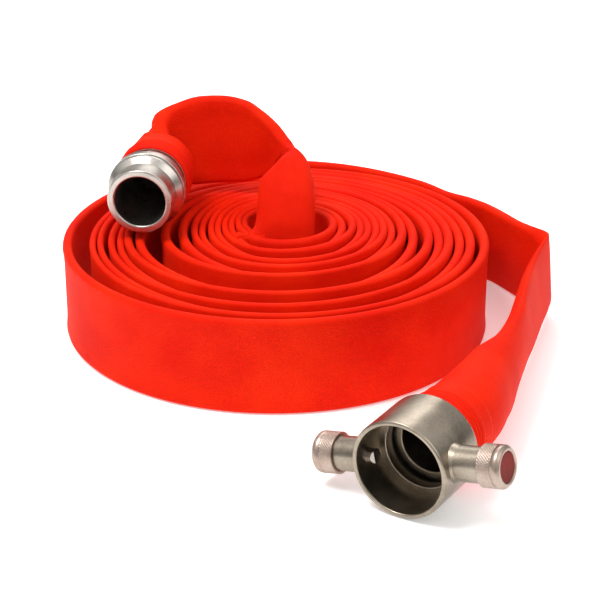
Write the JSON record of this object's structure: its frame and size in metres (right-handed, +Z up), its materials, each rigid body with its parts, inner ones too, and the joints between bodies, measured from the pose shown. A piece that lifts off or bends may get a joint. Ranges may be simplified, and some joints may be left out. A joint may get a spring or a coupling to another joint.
{
  "type": "rolled fire hose",
  "caption": "Layflat fire hose rolled flat on the floor, with a plain instantaneous coupling half on its raised inner end and a spring-plunger half on its free outer loop.",
  "frame": {"origin": "on the floor, at the axis of the roll's outermost turn", "axes": "+Z up; the male half's nose points along -Y turned a little towards -X, and the female half lies in front of the roll, at -Y"},
  "size_m": [0.4999, 0.6556, 0.1994],
  "materials": {
    "hose_cloth": "woven, satin",
    "cast_steel": "satin turned stainless",
    "bright_steel": "polished stainless",
    "knurled_steel": "knurled stainless",
    "spring_steel": "drawn wire",
    "binding_wire": "galvanised wire",
    "seal_rubber": "matt",
    "red_disc": "satin"
  },
  "bodies": {
    "root": {"hose_coil": "hose_cloth", "hose_outer_run": "hose_cloth", "hose_inner_run": "hose_cloth", "male_nose": "bright_steel", "male_tail": "bright_steel", "male_binding_wire": "binding_wire", "male_cuff_cover": "hose_cloth", "female_body": "cast_steel", "female_tail": "cast_steel", "female_seal": "seal_rubber", "female_binding_wire": "binding_wire", "female_cuff_cover": "hose_cloth", "left_lug_tube": "cast_steel", "left_guide_bush": "spring_steel", "left_plunger_spring": "spring_steel", "right_lug_tube": "cast_steel", "right_guide_bush": "spring_steel", "right_plunger_spring": "spring_steel"},
    "left_plunger": {"left_plunger": "bright_steel", "left_knob": "knurled_steel", "left_knob_nut": "spring_steel", "left_indicator_disc": "red_disc"},
    "right_plunger": {"right_plunger": "bright_steel", "right_knob": "knurled_steel", "right_knob_nut": "spring_steel", "right_indicator_disc": "red_disc"}
  },
  "joints": [
    {"name": "left_plunger_pull", "type": "slide", "parent": "root", "child": "left_plunger", "axis": [-0.8295, 0.5183, -0.2079], "range_m": [0, 0.007], "stiffness_N_per_m": 4000, "springref_m": -0.004, "deforming": ["left_plunger_spring"]},
    {"name": "right_plunger_pull", "type": "slide", "parent": "root", "child": "right_plunger", "axis": [0.8295, -0.5183, 0.2079], "range_m": [0, 0.007], "stiffness_N_per_m": 4000, "springref_m": -0.004, "deforming": ["right_plunger_spring"]}
  ]
}
